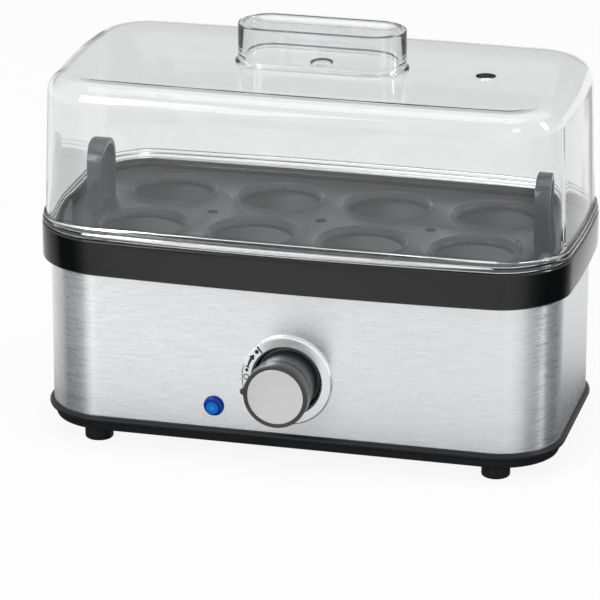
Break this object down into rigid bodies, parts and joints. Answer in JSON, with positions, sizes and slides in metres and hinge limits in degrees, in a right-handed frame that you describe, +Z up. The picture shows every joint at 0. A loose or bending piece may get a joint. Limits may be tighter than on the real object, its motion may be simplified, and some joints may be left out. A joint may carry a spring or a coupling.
{
  "type": "egg cooker",
  "caption": "Electric egg cooker: brushed steel housing with a heated water dish, an egg tray with arched handles, a clear lift-off lid with a ring handle and one front timer dial.",
  "frame": {"origin": "the middle of the outline seen from above, knob and gland included, on the surface that the feet stand on", "axes": "+X to the right along the length, +Y from the dial to the back, +Z up"},
  "size_m": [0.245, 0.1456, 0.1882],
  "materials": {
    "black_plastic": "satin moulded ABS",
    "foot_rubber": "matte moulded",
    "screw_steel": "zinc-plated steel",
    "brushed_steel": "brushed along the length",
    "gloss_black": "high-gloss moulded",
    "silicone": "heat-resistant silicone",
    "dish_coating": "dark non-stick coating on aluminium",
    "heater_sheath": "oxidised steel tube",
    "sheet_steel": "plain galvanised sheet",
    "shield_aluminised": "aluminised sheet",
    "fuse_ceramic": "glazed sleeve",
    "thermostat_ceramic": "steatite body",
    "shaft_steel": "turned steel",
    "cup_black": "matte moulded",
    "silver_trim": "satin silver with a bright edge",
    "knob_black": "satin moulded ABS",
    "cap_silver": "fine brushed",
    "lens_blue": "clear moulded, blue",
    "lamp_glass": "clear",
    "gland_black": "matte moulded polyamide",
    "terminal_plastic": "natural polyamide",
    "brass_screws": "bright",
    "lead_insulation": "silicone insulated",
    "tray_grey": "semi-gloss moulded polypropylene",
    "handle_grey": "semi-gloss moulded polypropylene",
    "clear_lid": "clear moulded, faint grey"
  },
  "bodies": {
    "housing": {"base_tray": "black_plastic", "feet": "foot_rubber", "base_screws": "screw_steel", "body_shell": "brushed_steel", "trim_band": "gloss_black", "plate_seal": "silicone", "water_dish": "dish_coating", "heating_element": "heater_sheath", "clamp_bars": "sheet_steel", "heat_shield": "shield_aluminised", "dish_nuts": "screw_steel", "thermal_fuse": "fuse_ceramic", "fuse_clip": "sheet_steel", "thermostat": "thermostat_ceramic", "thermostat_bracket": "sheet_steel", "bracket_screws": "screw_steel", "dial_cup": "cup_black", "dial_bezel": "silver_trim", "indicator_lens": "lens_blue", "indicator_lamp": "lamp_glass", "lamp_nut": "black_plastic", "cord_gland": "gland_black", "gland_nut": "gland_black", "terminal_block": "terminal_plastic", "terminal_screws": "brass_screws", "internal_leads": "lead_insulation"},
    "dial": {"thermostat_shaft": "shaft_steel", "control_knob": "knob_black", "knob_cap": "cap_silver"},
    "tray": {"egg_tray": "tray_grey", "tray_handle_left": "handle_grey", "tray_handle_right": "handle_grey"},
    "lid": {"lid_shell": "clear_lid", "lid_handle": "clear_lid"}
  },
  "joints": [
    {"name": "dial_turn", "type": "hinge", "parent": "housing", "child": "dial", "pos_m": [-0.0012, -0.0608, 0.0399], "axis": [0, 1, 0], "range_deg": [0, 43]},
    {"name": "tray_lift", "type": "slide", "parent": "housing", "child": "tray", "axis": [0, 0, 1], "range_m": [0, 0.036]},
    {"name": "lid_lift", "type": "slide", "parent": "housing", "child": "lid", "axis": [0, 0, 1], "range_m": [0, 0.12]}
  ]
}
